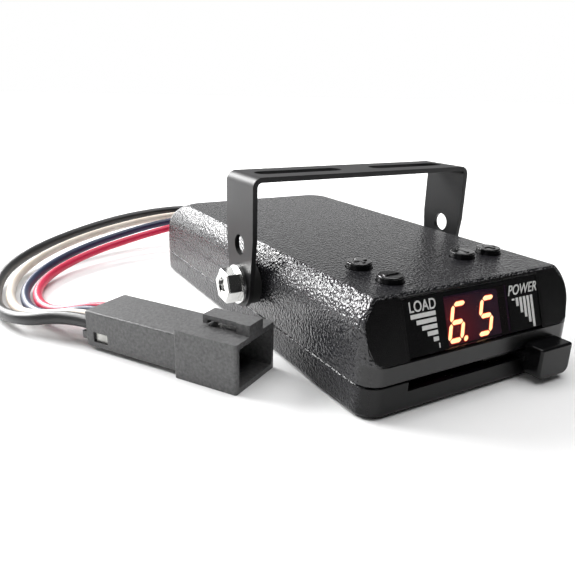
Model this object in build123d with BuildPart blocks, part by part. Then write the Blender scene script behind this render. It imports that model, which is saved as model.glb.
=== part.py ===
"""Trailer brake controller: a two-piece plastic case with a digital display, four push buttons
and a sprung hand lever, hung in a steel bracket, with four wires that end in an in-line plug.

The front faces -Y, +X is to the right seen from the front and +Z is up. The case rests on z = 0.
The origin is under the middle of the unit, wires and plug left out. Millimetres throughout."""
import os
from math import cos, pi, radians, sin, sqrt, tan

from build123d import *

os.makedirs("parts", exist_ok=True)

# Case.
case_width = 78.0
case_length = 152.0
case_height = 31.0
front = -74.0
back = front + case_length
seam = 9.1
wall = 2.0
corner = 5.8
side_arc = 12.5
side_arc_start = 21.0
back_arc = 15.2
back_arc_start = 16.0
seam_bevel = 0.35

# Front panel: it leans back above the smooth strip at the foot of the upper case.
panel_foot = 14.4
panel_foot_back = 0.35
panel_lean = 19.2
panel_thick = 2.2
panel_side = 37.5
panel_slope = (case_height - panel_foot) / cos(radians(panel_lean))
window_width = 50.6
window_height = 15.2
window_lift = 0.6
filter_width = 23.8
filter_height = 13.9
filter_shift = 0.5

# Push buttons: x, and distance behind the front face.
button_places = {
    "left_minus_button": (-21.5, 15.2),
    "left_plus_button": (-21.5, 29.2),
    "right_minus_button": (14.7, 24.7),
    "right_plus_button": (26.2, 24.7),
}
button_across = 7.5
button_proud = 2.2
button_gap = 0.3
key_board_top = 22.6
switch_height = 3.5

# Hand lever and its slot in the lower case.
slot_left = -25.5
slot_right = 31.2
slot_floor = 6.2
slide_gap = 0.3
tongue_left = 16.0
tongue_right = 30.8
lever_travel = 40.0
knob_left = 17.6
knob_right = 31.0
knob_reach = 6.5
knob_foot = 1.5
knob_top = 11.2

# Bracket and its bolts.
bolt_y = front + 63.0
bolt_z = 19.0
strap_thick = 1.6
strap_width = 19.0
bracket_half = 43.6
bracket_top = 54.2
bend_inside = 1.6
leg_end = 7.6
leg_taper_top = 35.0
spare_hole_z = 32.0
bolt_hole_radius = 3.3
bolt_radius = 2.95
slot_hole_radius = 3.2
slot_hole_length = 32.0
slot_hole_spacing = 44.4
flange_radius = 6.4
hex_across = 10.0
flange_thick = 1.4
hex_height = 4.6
washer_radius = 7.0

# Circuit board.
board_low = 12.0
board_thick = 1.6
board_top = board_low + board_thick
board_front = front + 36.0
board_back = back - 18.0
board_half = 31.0

# Wires and plug.
grommet_x = 3.0
grommet_z = 16.0
grommet_proud = 2.5
black_wire = 4.4
thin_wire = 3.4
wire_exits = (11.4, 5.8, 0.2, -5.4)
plug_turn = -58.0
plug_place = (-82.6, front + 81.5)
plug_rear_length = 36.0
plug_rear_width = 17.8
plug_rear_low = 1.4
plug_rear_high = 12.8
plug_front_length = 21.0
plug_front_width = 20.6
plug_front_high = 14.8
plug_pitch = 4.3
plug_wire_z = 7.9

panel_plane = Plane(
    origin=(0, front + panel_foot_back, panel_foot),
    x_dir=(1, 0, 0),
    z_dir=(0, -cos(radians(panel_lean)), sin(radians(panel_lean))),
)
side_plane = Plane.YZ
top_inside = case_height - wall
case_middle = (front + back) / 2


def half_width_at(z):
    """Half the case's width at a height: upright sides, then a round shoulder."""
    rise = max(z - side_arc_start, 0)
    return case_width / 2 - side_arc + sqrt(side_arc**2 - rise**2)


def back_at(z):
    """How far back the case reaches at a height: an upright end, then a round one."""
    rise = max(z - back_arc_start, 0)
    return back - back_arc + sqrt(back_arc**2 - rise**2)


def case_form(inset):
    """The upper case's outer block, or its hollow when every wall is drawn in by inset."""
    levels = [back_arc_start, side_arc_start, 22.5, 24.0, 26.5, 28.5, 30.0, case_height]
    with BuildPart() as form:
        with BuildSketch(Plane.XY.offset(seam)):
            with Locations((0, case_middle)):
                RectangleRounded(case_width - 2 * inset, case_length - 2 * inset, corner - inset / 2)
        extrude(amount=back_arc_start - inset - seam)
        for level in levels:
            deep = back_at(level) - inset - (front + inset)
            with BuildSketch(Plane.XY.offset(level - inset)):
                with Locations((0, front + inset + deep / 2)):
                    RectangleRounded(
                        2 * (half_width_at(level) - inset),
                        deep,
                        corner - inset / 2 + 0.1 * (level - back_arc_start),
                    )
        loft()
    return form.part


def ahead_of_panel(depth):
    """Everything in front of the leaning panel plane, moved back into the case by depth."""
    shift = depth / cos(radians(panel_lean))
    low = panel_foot if depth == 0 else seam - 1
    foot_y = front + panel_foot_back + shift - (panel_foot - low) * tan(radians(panel_lean))
    top_y = foot_y + (case_height + 2 - low) * tan(radians(panel_lean))
    with BuildPart() as space:
        with BuildSketch(side_plane):
            with BuildLine():
                Polyline(
                    (front - 5, low), (foot_y, low), (top_y, case_height + 2), (front - 5, case_height + 2),
                    close=True,
                )
            make_face()
        extrude(amount=case_width, both=True)
    return space.part


def panel_outline(grow):
    """The front panel's outline seen square on, as a bar that runs back through the case."""
    half_top = 33.4 + grow
    top = case_height - 0.9 + grow
    side = panel_side + grow
    round_low = 5.5
    with BuildPart() as bar:
        with BuildSketch(Plane.XZ.offset(-front - 12)):
            with BuildLine():
                right = Polyline((0, top), (half_top, top), (side, 25.2), (side, panel_foot + round_low))
                bend = TangentArc(right @ 1, (side - round_low, panel_foot - grow), tangent=(0, -1))
                foot = Line(bend @ 1, (0, panel_foot - grow))
                mirror(about=Plane.YZ)
            make_face()
        extrude(amount=20)
    return bar.part


# Upper case: one moulding with a wall all round, four screw posts and two nut pockets.
case_block = case_form(0) - ahead_of_panel(0)
case_hollow = case_form(wall) - ahead_of_panel(panel_thick)
panel_seat = panel_outline(0.15) & ahead_of_panel(panel_thick)
post_places = [(x, y) for x in (-31.5, 31.5) for y in (front + 31, back - 10)]
post_radius = 3.2
key_pillars = [(x, front + y) for x in (-29.0, 28.5) for y in (15.5, 41.0)]

with BuildPart() as upper_shell:
    add(case_block)
    add(case_hollow, mode=Mode.SUBTRACT)
    add(panel_seat, mode=Mode.SUBTRACT)
    with BuildSketch(Plane.XY.offset(seam)):
        with Locations(*post_places):
            Circle(post_radius)
    extrude(until=Until.NEXT)
    with BuildSketch(Plane.XY.offset(seam)):
        with Locations(*post_places):
            Circle(1.1)
    extrude(amount=10, mode=Mode.SUBTRACT)
    with BuildSketch(Plane.XY.offset(key_board_top)):
        with Locations(*key_pillars):
            Circle(2.2)
    extrude(until=Until.NEXT)
    with BuildSketch(Plane.XY.offset(key_board_top)):
        with Locations(*key_pillars):
            Circle(0.8)
    extrude(amount=4.5, mode=Mode.SUBTRACT)
    with Locations(*[(side * (case_width / 2 - wall - 2.6), bolt_y, bolt_z) for side in (-1, 1)]):
        Box(5.4, 15, 15)
    for side in (-1, 1):
        with BuildSketch(side_plane.offset(side * (case_width / 2 - wall - 5.4))):
            with Locations((bolt_y, bolt_z)):
                RegularPolygon(5.1, 6, major_radius=False)
        extrude(amount=side * 5.1, mode=Mode.SUBTRACT)
        with BuildSketch(side_plane.offset(side * case_width / 2)):
            with Locations((bolt_y, bolt_z)):
                Circle(3.2)
        extrude(amount=-side * 9, mode=Mode.SUBTRACT)
    with BuildSketch(Plane.XY.offset(top_inside - 1)):
        with Locations(*[(x, front + y) for x, y in button_places.values()]):
            Circle(button_across / 2 + button_gap)
    extrude(amount=6, mode=Mode.SUBTRACT)
    with BuildSketch(Plane.XZ.offset(-back - 2)):
        with Locations((grommet_x, grommet_z)):
            SlotOverall(26.4, 8.4)
    extrude(amount=6, mode=Mode.SUBTRACT)
    outer_rim = upper_shell.faces().filter_by(Axis.Z).group_by(Axis.Z)[0].sort_by(SortBy.AREA)[-1].outer_wire()
    chamfer(outer_rim.edges(), seam_bevel)
upper_shell.part.label = "upper_shell"
export_step(upper_shell.part, "parts/upper_shell.step")

# Front panel: a smooth moulding let into the front of the upper case, open for the window.
with BuildPart() as front_panel:
    add(case_block & panel_outline(0) & ahead_of_panel(panel_thick))
    with BuildSketch(panel_plane.offset(1)):
        with Locations((0, window_lift + window_height / 2 - 1)):
            Rectangle(window_width + 0.3, window_height + 2.3)
    extrude(amount=-6, mode=Mode.SUBTRACT)
front_panel.part.label = "front_panel"
export_step(front_panel.part, "parts/front_panel.step")

# Label window: a black acrylic plate with a cut-out for the display's red filter.
with BuildPart() as label_window:
    with BuildSketch(panel_plane.offset(-0.25)):
        with Locations((0, window_lift + window_height / 2)):
            Rectangle(window_width, window_height - 0.1)
        with Locations((filter_shift, window_lift + filter_height / 2)):
            Rectangle(filter_width + 0.2, filter_height + 0.2, mode=Mode.SUBTRACT)
    extrude(amount=-1.5)
label_window.part.label = "label_window"
export_step(label_window.part, "parts/label_window.step")

# Display filter: a red acrylic pane in the label window's cut-out.
with BuildPart() as display_filter:
    with BuildSketch(panel_plane.offset(-0.35)):
        with Locations((filter_shift, window_lift + filter_height / 2)):
            Rectangle(filter_width, filter_height)
    extrude(amount=-1.2)
display_filter.part.label = "display_filter"
export_step(display_filter.part, "parts/display_filter.step")

# Two-digit LED display, 0.4 inch digits, behind the filter.
display_depth = 2.6
display_up = 7.3
with BuildPart() as led_display:
    with BuildSketch(panel_plane.offset(-display_depth)):
        with Locations((filter_shift, display_up)):
            Rectangle(20.1, 12.8)
    extrude(amount=-6.0)
led_display.part.label = "led_display"
export_step(led_display.part, "parts/led_display.step")

# Key board: the small circuit board under the buttons, cut out round the display.
key_board_low = key_board_top - board_thick
with BuildPart() as key_board:
    with BuildSketch(Plane.XY.offset(key_board_low)):
        with Locations((0, front + 28.5)):
            Rectangle(62, 33)
        with Locations((0, front + 15)):
            Rectangle(25, 12, mode=Mode.SUBTRACT)
        with Locations(*post_places):
            Circle(post_radius + 0.4, mode=Mode.SUBTRACT)
        with Locations(*key_pillars):
            Circle(0.95, mode=Mode.SUBTRACT)
    extrude(amount=board_thick)
key_board.part.label = "key_board"
export_step(key_board.part, "parts/key_board.step")

# Tactile switches, one under each button, with a well for the button's stem.
with BuildPart() as button_switches:
    with BuildSketch(Plane.XY.offset(key_board_top)):
        with Locations(*[(x, front + y) for x, y in button_places.values()]):
            Rectangle(6, 6)
    extrude(amount=switch_height)
    with BuildSketch(Plane.XY.offset(key_board_top + switch_height)):
        with Locations(*[(x, front + y) for x, y in button_places.values()]):
            Circle(1.8)
    extrude(amount=-1.5, mode=Mode.SUBTRACT)
button_switches.part.label = "button_switches"
export_step(button_switches.part, "parts/button_switches.step")


def push_button(name, x, y):
    """A round cap with a raised rim, a flange that holds it in the case and a stem to its switch."""
    flange_top = top_inside - 0.4
    flange_low = flange_top - 0.9
    stem_foot = key_board_top + switch_height - 0.8
    top = case_height + button_proud
    bar_along_x = name.startswith("left")
    with BuildPart() as button:
        with BuildSketch(Plane.XY.offset(flange_low)):
            with Locations((x, y)):
                Circle(button_across / 2)
        extrude(amount=top - 0.3 - flange_low)
        cap_edge = button.edges().filter_by(GeomType.CIRCLE).group_by(Axis.Z)[-1]
        fillet(cap_edge, 0.5)
        with BuildSketch(Plane.XY.offset(flange_low)):
            with Locations((x, y)):
                Circle(button_across / 2 + 0.8)
        extrude(amount=flange_top - flange_low)
        with BuildSketch(Plane.XY.offset(stem_foot)):
            with Locations((x, y)):
                Circle(1.5)
        extrude(amount=flange_low - stem_foot + 0.1)
        with BuildSketch(Plane.XY.offset(top - 0.4)):
            with Locations((x, y)):
                Rectangle(4.6 if bar_along_x else 1.1, 1.1 if bar_along_x else 4.6)
                if "plus" in name:
                    Rectangle(1.1 if bar_along_x else 4.6, 4.6 if bar_along_x else 1.1)
        extrude(amount=0.4)
    return button.part


for button_name, (button_x, button_y) in button_places.items():
    button_solid = push_button(button_name, button_x, front + button_y)
    button_solid.label = button_name
    export_step(button_solid, f"parts/{button_name}.step")

# Lower case: a shallow tray with the lever's slot in its front edge, rails, pillars and posts.
board_pillars = [(x, y) for x in (-27.0, 27.0) for y in (board_front + 6, board_back - 6)]
with BuildPart() as lower_shell:
    with BuildSketch():
        with Locations((0, case_middle)):
            RectangleRounded(case_width, case_length, corner)
    extrude(amount=seam)
    fillet(lower_shell.edges().group_by(Axis.Z)[0], 1.8)
    chamfer(lower_shell.edges().group_by(Axis.Z)[-1], seam_bevel)
    with BuildSketch(Plane.XY.offset(wall)):
        with Locations((0, case_middle)):
            RectangleRounded(case_width - 2 * wall, case_length - 2 * wall, corner - wall)
    extrude(amount=seam, mode=Mode.SUBTRACT)
    with BuildSketch(Plane.XY.offset(wall - 0.5)):
        with Locations(*post_places):
            Circle(post_radius)
        with Locations(((slot_left + slot_right) / 2, front + 12.5)):
            Rectangle(slot_right - slot_left + 6, 1.6)
    extrude(amount=slot_floor - wall + 0.5)
    with BuildSketch(Plane.XY.offset(slot_floor - 0.5)):
        with Locations(*post_places):
            Circle(post_radius)
    extrude(amount=seam - slot_floor + 0.5)
    with BuildSketch(Plane.XY.offset(wall - 0.5)):
        with Locations(*board_pillars):
            Circle(2.6)
    extrude(amount=board_low - wall + 0.5)
    with BuildSketch(Plane.XY.offset(board_low)):
        with Locations(*board_pillars):
            Circle(1.1)
    extrude(amount=-6, mode=Mode.SUBTRACT)
    with BuildSketch():
        with Locations(*post_places):
            Circle(1.5)
    extrude(amount=seam, mode=Mode.SUBTRACT)
    with BuildSketch():
        with Locations(*post_places):
            Circle(2.9)
    extrude(amount=2.6, mode=Mode.SUBTRACT)
    with BuildSketch(Plane.XY.offset(slot_floor)):
        with Locations(((slot_left + slot_right) / 2, front)):
            Rectangle(slot_right - slot_left, 4.5)
    extrude(amount=seam, mode=Mode.SUBTRACT)
lower_shell.part.label = "lower_shell"
export_step(lower_shell.part, "parts/lower_shell.step")

# Case screws: pan heads in the lower case, threaded into the upper case's posts.
with BuildPart() as case_screws:
    with BuildSketch(Plane.XY.offset(0.7)):
        with Locations(*post_places):
            Circle(2.6)
    extrude(amount=1.9)
    with BuildSketch(Plane.XY.offset(2.5)):
        with Locations(*post_places):
            Circle(1.1)
    extrude(amount=14)
    with BuildSketch(Plane.XY.offset(0.7)):
        with Locations(*post_places):
            Rectangle(3.2, 0.6)
            Rectangle(0.6, 3.2)
    extrude(amount=1.0, mode=Mode.SUBTRACT)
case_screws.part.label = "case_screws"
export_step(case_screws.part, "parts/case_screws.step")

# Hand lever: the knob outside, the tongue through the slot and the flat carriage inside.
tongue_low = slot_floor + slide_gap
tongue_high = seam - slide_gap
wiper_x = 22.0
wiper_y = front + 20.5
spring_y = front + 6.5
hook_x = 8.0
with BuildPart() as hand_lever:
    with BuildSketch(Plane.XY.offset(tongue_low)):
        with Locations(((tongue_left + tongue_right) / 2, front + 2)):
            Rectangle(tongue_right - tongue_left, 8)
        with Locations(((hook_x - 3 + tongue_right) / 2, front + 12.5)):
            Rectangle(tongue_right - hook_x + 3, 5.5)
        with Locations((wiper_x, front + 18)):
            Rectangle(10, 9)
        with Locations((tongue_left + 5, front + 8)):
            Rectangle(10, 6)
        with Locations((hook_x - 0.5, spring_y + 2)):
            Rectangle(5, 7)
        with Locations((wiper_x, wiper_y)):
            Rectangle(1.8, 2.2, mode=Mode.SUBTRACT)
    extrude(amount=tongue_high - tongue_low)
    with BuildSketch(Plane.XZ.offset(-front + 0.4)) as knob_face:
        with Locations(((knob_left + knob_right) / 2, (knob_foot + knob_top) / 2)):
            Rectangle(knob_right - knob_left, knob_top - knob_foot)
        fillet(knob_face.vertices().group_by(Axis.Y)[0], 2.6)
        fillet(knob_face.vertices().group_by(Axis.Y)[-1], 0.6)
    extrude(amount=knob_reach - 0.4)
    knob_front = hand_lever.faces().filter_by(Axis.Y).sort_by(Axis.Y)[0]
    fillet(knob_front.edges(), 0.8)
    with BuildSketch(Plane.XY.offset(tongue_low)):
        with Locations((hook_x - 1, spring_y)):
            Circle(0.8)
    extrude(amount=-2.6)
hand_lever.part.label = "hand_lever"
export_step(hand_lever.part, "parts/hand_lever.step")

# Slide potentiometer: a flat can on the case floor with a slot for its wiper.
pot_middle = wiper_x - lever_travel / 2
pot_low = wall
pot_high = 5.9
with BuildPart() as slide_pot:
    with BuildSketch(Plane.XY.offset(pot_low)):
        with Locations((pot_middle, wiper_y)):
            Rectangle(60, 8.5)
    extrude(amount=pot_high - pot_low)
    with BuildSketch(Plane.XY.offset(pot_low + 1.2)):
        with Locations((pot_middle, wiper_y)):
            Rectangle(lever_travel + 4, 3.0)
    extrude(amount=pot_high, mode=Mode.SUBTRACT)
slide_pot.part.label = "slide_pot"
export_step(slide_pot.part, "parts/slide_pot.step")

# Wiper of the slide potentiometer: its tab stands up into the lever's carriage.
with BuildPart() as pot_wiper:
    with BuildSketch(Plane.XY.offset(pot_low + 1.6)):
        with Locations((wiper_x, wiper_y)):
            Rectangle(3.2, 2.2)
    extrude(amount=1.6)
    with BuildSketch(Plane.XY.offset(pot_low + 3.2)):
        with Locations((wiper_x, wiper_y)):
            Rectangle(1.8, 2.2)
    extrude(amount=tongue_high - pot_low - 3.2)
pot_wiper.part.label = "pot_wiper"
export_step(pot_wiper.part, "parts/pot_wiper.step")

# Lever return spring: a close-wound extension spring between the carriage and a post on the floor.
spring_anchor_x = 34.5
spring_z = tongue_low - 1.7
spring_wire = 0.5
spring_radius = 1.1
coils = int((spring_anchor_x - hook_x) / spring_wire) - 6
spring_start = hook_x + 0.3
with BuildPart() as lever_spring:
    with BuildSketch(Plane.XZ.offset(-spring_y)):
        for coil in range(coils):
            with Locations((spring_start + coil * spring_wire, spring_z + spring_radius)):
                Circle(spring_wire / 2 + 0.04)
        with Locations((spring_start + (coils - 1) * spring_wire / 2, spring_z + spring_radius - 0.1)):
            Rectangle((coils - 1) * spring_wire, 0.2)
    revolve(axis=Axis((0, spring_y, spring_z), (1, 0, 0)))
lever_spring.part.label = "lever_spring"
export_step(lever_spring.part, "parts/lever_spring.step")

# Post that holds the still end of the return spring.
with BuildPart() as spring_post:
    with BuildSketch(Plane.XY.offset(wall)):
        with Locations((spring_anchor_x - 0.6, spring_y)):
            Circle(1.2)
    extrude(amount=spring_z + 1.6 - wall)
spring_post.part.label = "spring_post"
export_step(spring_post.part, "parts/spring_post.step")

# Main circuit board on four pillars.
with BuildPart() as main_board:
    with BuildSketch(Plane.XY.offset(board_low)):
        with Locations((0, (board_front + board_back) / 2)):
            Rectangle(2 * board_half, board_back - board_front)
        with Locations(*board_pillars):
            Circle(1.3, mode=Mode.SUBTRACT)
    extrude(amount=board_thick)
main_board.part.label = "main_board"
export_step(main_board.part, "parts/main_board.step")

# Board screws into the pillars, and key board screws up into the upper case.
with BuildPart() as board_screws:
    with BuildSketch(Plane.XY.offset(board_top)):
        with Locations(*board_pillars):
            Circle(2.2)
    extrude(amount=1.4)
    with BuildSketch(Plane.XY.offset(board_top)):
        with Locations(*board_pillars):
            Circle(1.1)
    extrude(amount=-6)
board_screws.part.label = "board_screws"
export_step(board_screws.part, "parts/board_screws.step")

with BuildPart() as key_board_screws:
    with BuildSketch(Plane.XY.offset(key_board_low)):
        with Locations(*key_pillars):
            Circle(1.6)
    extrude(amount=-1.2)
    with BuildSketch(Plane.XY.offset(key_board_low)):
        with Locations(*key_pillars):
            Circle(0.8)
    extrude(amount=5.5)
key_board_screws.part.label = "key_board_screws"
export_step(key_board_screws.part, "parts/key_board_screws.step")

# Pin header that joins the key board to the main board.
header_y = board_front + 4
with BuildPart() as board_header:
    with BuildSketch(Plane.XY.offset(board_top)):
        with Locations((0, header_y)):
            Rectangle(26, 2.5)
    extrude(amount=key_board_low - board_top)
board_header.part.label = "board_header"
export_step(board_header.part, "parts/board_header.step")

# Parts on the main board: controller chip, motion sensor, capacitors, transistors, heat sink.
chip_y = board_front + 26
with BuildPart() as controller_chip:
    with BuildSketch(Plane.XY.offset(board_top)):
        with Locations((-8, chip_y)):
            Rectangle(12, 12)
    extrude(amount=1.6)
    chamfer(controller_chip.edges().group_by(Axis.Z)[-1], 0.3)
controller_chip.part.label = "controller_chip"
export_step(controller_chip.part, "parts/controller_chip.step")

with BuildPart() as motion_sensor:
    with BuildSketch(Plane.XY.offset(board_top)):
        with Locations((10, chip_y)):
            Rectangle(5, 5)
    extrude(amount=1.3)
    chamfer(motion_sensor.edges().group_by(Axis.Z)[-1], 0.2)
motion_sensor.part.label = "motion_sensor"
export_step(motion_sensor.part, "parts/motion_sensor.step")

capacitor_places = [(-18, board_front + 50), (-6, board_front + 50)]
with BuildPart() as capacitors:
    with BuildSketch(Plane.XY.offset(board_top)):
        with Locations(*capacitor_places):
            Circle(5)
    extrude(amount=12.5)
    fillet(capacitors.edges().group_by(Axis.Z)[-1], 0.8)
capacitors.part.label = "capacitors"
export_step(capacitors.part, "parts/capacitors.step")

sink_y = board_front + 76
with BuildPart() as heat_sink:
    with BuildSketch(Plane.XY.offset(board_top)):
        with Locations((0, sink_y)):
            Rectangle(44, 3)
        for fin in range(8):
            with Locations((-19.25 + 5.5 * fin, sink_y + 4.5)):
                Rectangle(1.4, 8)
    extrude(amount=13)
heat_sink.part.label = "heat_sink"
export_step(heat_sink.part, "parts/heat_sink.step")

transistor_places = [(-11, sink_y - 3.75), (11, sink_y - 3.75)]
with BuildPart() as power_transistors:
    with BuildSketch(Plane.XY.offset(board_top + 2.5)):
        with Locations(*transistor_places):
            Rectangle(10, 4.5)
    extrude(amount=9)
    with BuildSketch(Plane.XY.offset(board_top)):
        for transistor_x, transistor_y in transistor_places:
            with Locations(*[(transistor_x + 2.54 * leg, transistor_y) for leg in (-1, 0, 1)]):
                Rectangle(0.9, 0.6)
    extrude(amount=2.5)
power_transistors.part.label = "power_transistors"
export_step(power_transistors.part, "parts/power_transistors.step")

# Nuts in the upper case's side pockets.
nut_face = case_width / 2 - wall - 0.5
with BuildPart() as side_nuts:
    for side in (-1, 1):
        with BuildSketch(side_plane.offset(side * nut_face)):
            with Locations((bolt_y, bolt_z)):
                RegularPolygon(5.0, 6, major_radius=False)
                Circle(3.0, mode=Mode.SUBTRACT)
        extrude(amount=-side * 4.8)
side_nuts.part.label = "side_nuts"
export_step(side_nuts.part, "parts/side_nuts.step")

# Rubber washers that fill the gap between the case and the bracket's legs.
running_gap = 0.05
with BuildPart() as spacer_washers:
    for side in (-1, 1):
        with BuildSketch(side_plane.offset(side * case_width / 2)):
            with Locations((bolt_y, bolt_z)):
                Circle(washer_radius)
                Circle(3.1, mode=Mode.SUBTRACT)
        extrude(amount=side * (bracket_half - strap_thick - case_width / 2 - running_gap))
spacer_washers.part.label = "spacer_washers"
export_step(spacer_washers.part, "parts/spacer_washers.step")


def bracket_bolt(side):
    """A flanged hexagon bolt with a dished head, screwed into the nut in the case's side."""
    seat = bracket_half + running_gap
    with BuildPart() as bolt:
        with BuildSketch(side_plane.offset(side * (nut_face - 6))):
            with Locations((bolt_y, bolt_z)):
                Circle(bolt_radius)
        extrude(amount=side * (seat + flange_thick - nut_face + 6))
        with BuildSketch(side_plane.offset(side * seat)):
            with Locations((bolt_y, bolt_z)):
                Circle(flange_radius)
        extrude(amount=side * flange_thick)
        with BuildSketch(side_plane.offset(side * (seat + flange_thick))):
            with Locations((bolt_y, bolt_z)):
                RegularPolygon(hex_across / 2, 6, major_radius=False, rotation=8)
        extrude(amount=side * hex_height)
        outer_edges = bolt.faces().filter_by(Axis.X).sort_by(Axis.X)[0 if side < 0 else -1].edges()
        chamfer(outer_edges, 0.5)
        with BuildSketch(side_plane.offset(side * (seat + flange_thick + hex_height))):
            with Locations((bolt_y, bolt_z)):
                Circle(2.9)
        extrude(amount=-side * 0.9, taper=25, mode=Mode.SUBTRACT)
    return bolt.part


left_bolt = bracket_bolt(-1)
left_bolt.label = "left_bolt"
export_step(left_bolt, "parts/left_bolt.step")
right_bolt = bracket_bolt(1)
right_bolt.label = "right_bolt"
export_step(right_bolt, "parts/right_bolt.step")

# Bracket: a flat steel strap folded to a U, slotted on top, with two holes in each leg.
with BuildPart() as bracket:
    with BuildSketch(Plane.XZ.offset(-bolt_y)) as strap:
        with Locations((0, bracket_top / 2)):
            Rectangle(2 * bracket_half, bracket_top)
        fillet(strap.vertices().group_by(Axis.Y)[-1], bend_inside + strap_thick)
        with BuildSketch(mode=Mode.SUBTRACT) as space_inside:
            with Locations((0, (bracket_top - strap_thick) / 2)):
                Rectangle(2 * (bracket_half - strap_thick), bracket_top - strap_thick)
            fillet(space_inside.vertices().group_by(Axis.Y)[-1], bend_inside)
    extrude(amount=strap_width / 2, both=True)
    with BuildSketch(side_plane) as leg_outline:
        with Locations((bolt_y, bolt_z)):
            Circle(leg_end)
        with Locations((bolt_y, (leg_taper_top + bracket_top) / 2)):
            Rectangle(strap_width, bracket_top - leg_taper_top)
        make_hull()
    extrude(amount=bracket_half, both=True, mode=Mode.INTERSECT)
    with BuildSketch(side_plane):
        with Locations((bolt_y, bolt_z), (bolt_y, spare_hole_z)):
            Circle(bolt_hole_radius)
    extrude(amount=bracket_half, both=True, mode=Mode.SUBTRACT)
    with BuildSketch(Plane.XY.offset(bracket_top)):
        with Locations((-slot_hole_spacing / 2, bolt_y), (slot_hole_spacing / 2, bolt_y)):
            SlotOverall(slot_hole_length, 2 * slot_hole_radius)
    extrude(amount=-strap_thick, mode=Mode.SUBTRACT)
bracket.part.label = "bracket"
export_step(bracket.part, "parts/bracket.step")

# Rubber grommet in the back wall, with a lip each side of it, that grips the four wires.
with BuildPart() as wire_grommet:
    with BuildSketch(Plane.XZ.offset(-back)):
        with Locations((grommet_x, grommet_z)):
            SlotOverall(26.2, 8.2)
    extrude(amount=wall, both=True)
    with BuildSketch(Plane.XZ.offset(-back - grommet_proud)):
        with Locations((grommet_x, grommet_z)):
            SlotOverall(29.5, 11.5)
    extrude(amount=grommet_proud - 0.1)
    fillet(wire_grommet.faces().sort_by(Axis.Y)[-1].edges(), 1.2)
wire_grommet.part.label = "wire_grommet"
export_step(wire_grommet.part, "parts/wire_grommet.step")


def round_wire(points, diameter, label):
    """A wire along straight runs joined by arcs as large as the runs allow, in front-based places."""
    places = [Vector(x, front + y, z) for x, y, z in points]
    radii = []
    for before, here, after in zip(places, places[1:], places[2:]):
        half_turn = radians((here - before).get_angle(after - here)) / 2
        radii.append(0.45 * min((here - before).length, (after - here).length) / tan(half_turn))
    with BuildPart() as wire:
        with BuildLine() as path:
            route = FilletPolyline(*places, radius=radii)
        with BuildSketch(Plane(origin=route @ 0, z_dir=route % 0)):
            Circle(diameter / 2)
        sweep()
    wire.part.label = label
    filled = wire.part.volume / (pi * diameter**2 / 4 * route.length)
    print(label, "length", round(route.length, 1), "volume ratio", round(filled, 4))
    print("  radii", [round(radius, 1) for radius in radii])
    return wire.part


# Leads inside the case, from the grommet down to the main board.
with BuildPart() as board_leads:
    for exit_x, across in zip(wire_exits, (black_wire, thin_wire, thin_wire, thin_wire)):
        with BuildLine() as lead_path:
            FilletPolyline(
                (exit_x, back - wall, grommet_z),
                (exit_x, board_back - 8, grommet_z),
                (exit_x, board_back - 8, board_top),
                radius=1.8,
            )
        with BuildSketch(Plane(origin=lead_path.line @ 0, z_dir=lead_path.line % 0)):
            Circle(across / 2 - 0.6)
        sweep(path=lead_path.line)
board_leads.part.label = "board_leads"
export_step(board_leads.part, "parts/board_leads.step")

# Plug, lying on the surface beside the case. Its own frame runs from the wires to the mouth.
turn = radians(plug_turn)
plug_plane = Plane(
    origin=(plug_place[0], plug_place[1], 0),
    x_dir=(cos(turn), sin(turn), 0),
    z_dir=(0, 0, 1),
)
plug_end = plug_rear_length + plug_front_length
ways = [plug_pitch * (way - 1.5) for way in range(4)]


def along_plug(distance):
    """The plane square across the plug at a distance from its wire end."""
    axis = plug_plane.x_dir
    return Plane(origin=plug_plane.origin + axis * distance, x_dir=plug_plane.y_dir, z_dir=axis)


# Rear half of the plug: a block with four terminal ways, a window for the lock and a release tab.
window_low = 3.0
window_high = 6.3
way_start = 4.5
with BuildPart() as plug_body:
    with BuildSketch(plug_plane.offset(plug_rear_low)):
        with Locations((plug_rear_length / 2, 0)):
            RectangleRounded(plug_rear_length, plug_rear_width, 0.8)
    extrude(amount=plug_rear_high - plug_rear_low)
    fillet(plug_body.edges().group_by(Axis.Z)[-1], 0.6)
    with BuildSketch(plug_plane.offset(2.9)):
        with Locations((-0.8, -plug_rear_width / 2 + 1.6)):
            Rectangle(2.6, 1.8)
    extrude(amount=2.5)
    with BuildSketch(along_plug(way_start)):
        with Locations(*[(way, plug_wire_z) for way in ways]):
            Rectangle(2.9, 2.9)
    extrude(amount=plug_rear_length, mode=Mode.SUBTRACT)
    with BuildSketch(plug_plane.offset(window_low)):
        with Locations((6.2, -plug_rear_width / 2)):
            Rectangle(5.8, 4.6)
    extrude(amount=window_high - window_low, mode=Mode.SUBTRACT)
plug_body.part.label = "plug_body"
export_step(plug_body.part, "parts/plug_body.step")

# Terminal lock: a bright slide that shows in the window.
with BuildPart() as terminal_lock:
    with BuildSketch(plug_plane.offset(window_low)):
        with Locations((6.2, -plug_rear_width / 2 + 1.55)):
            Rectangle(5.0, 1.5)
    extrude(amount=window_high - window_low - 0.6)
terminal_lock.part.label = "terminal_lock"
export_step(terminal_lock.part, "parts/terminal_lock.step")

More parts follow.
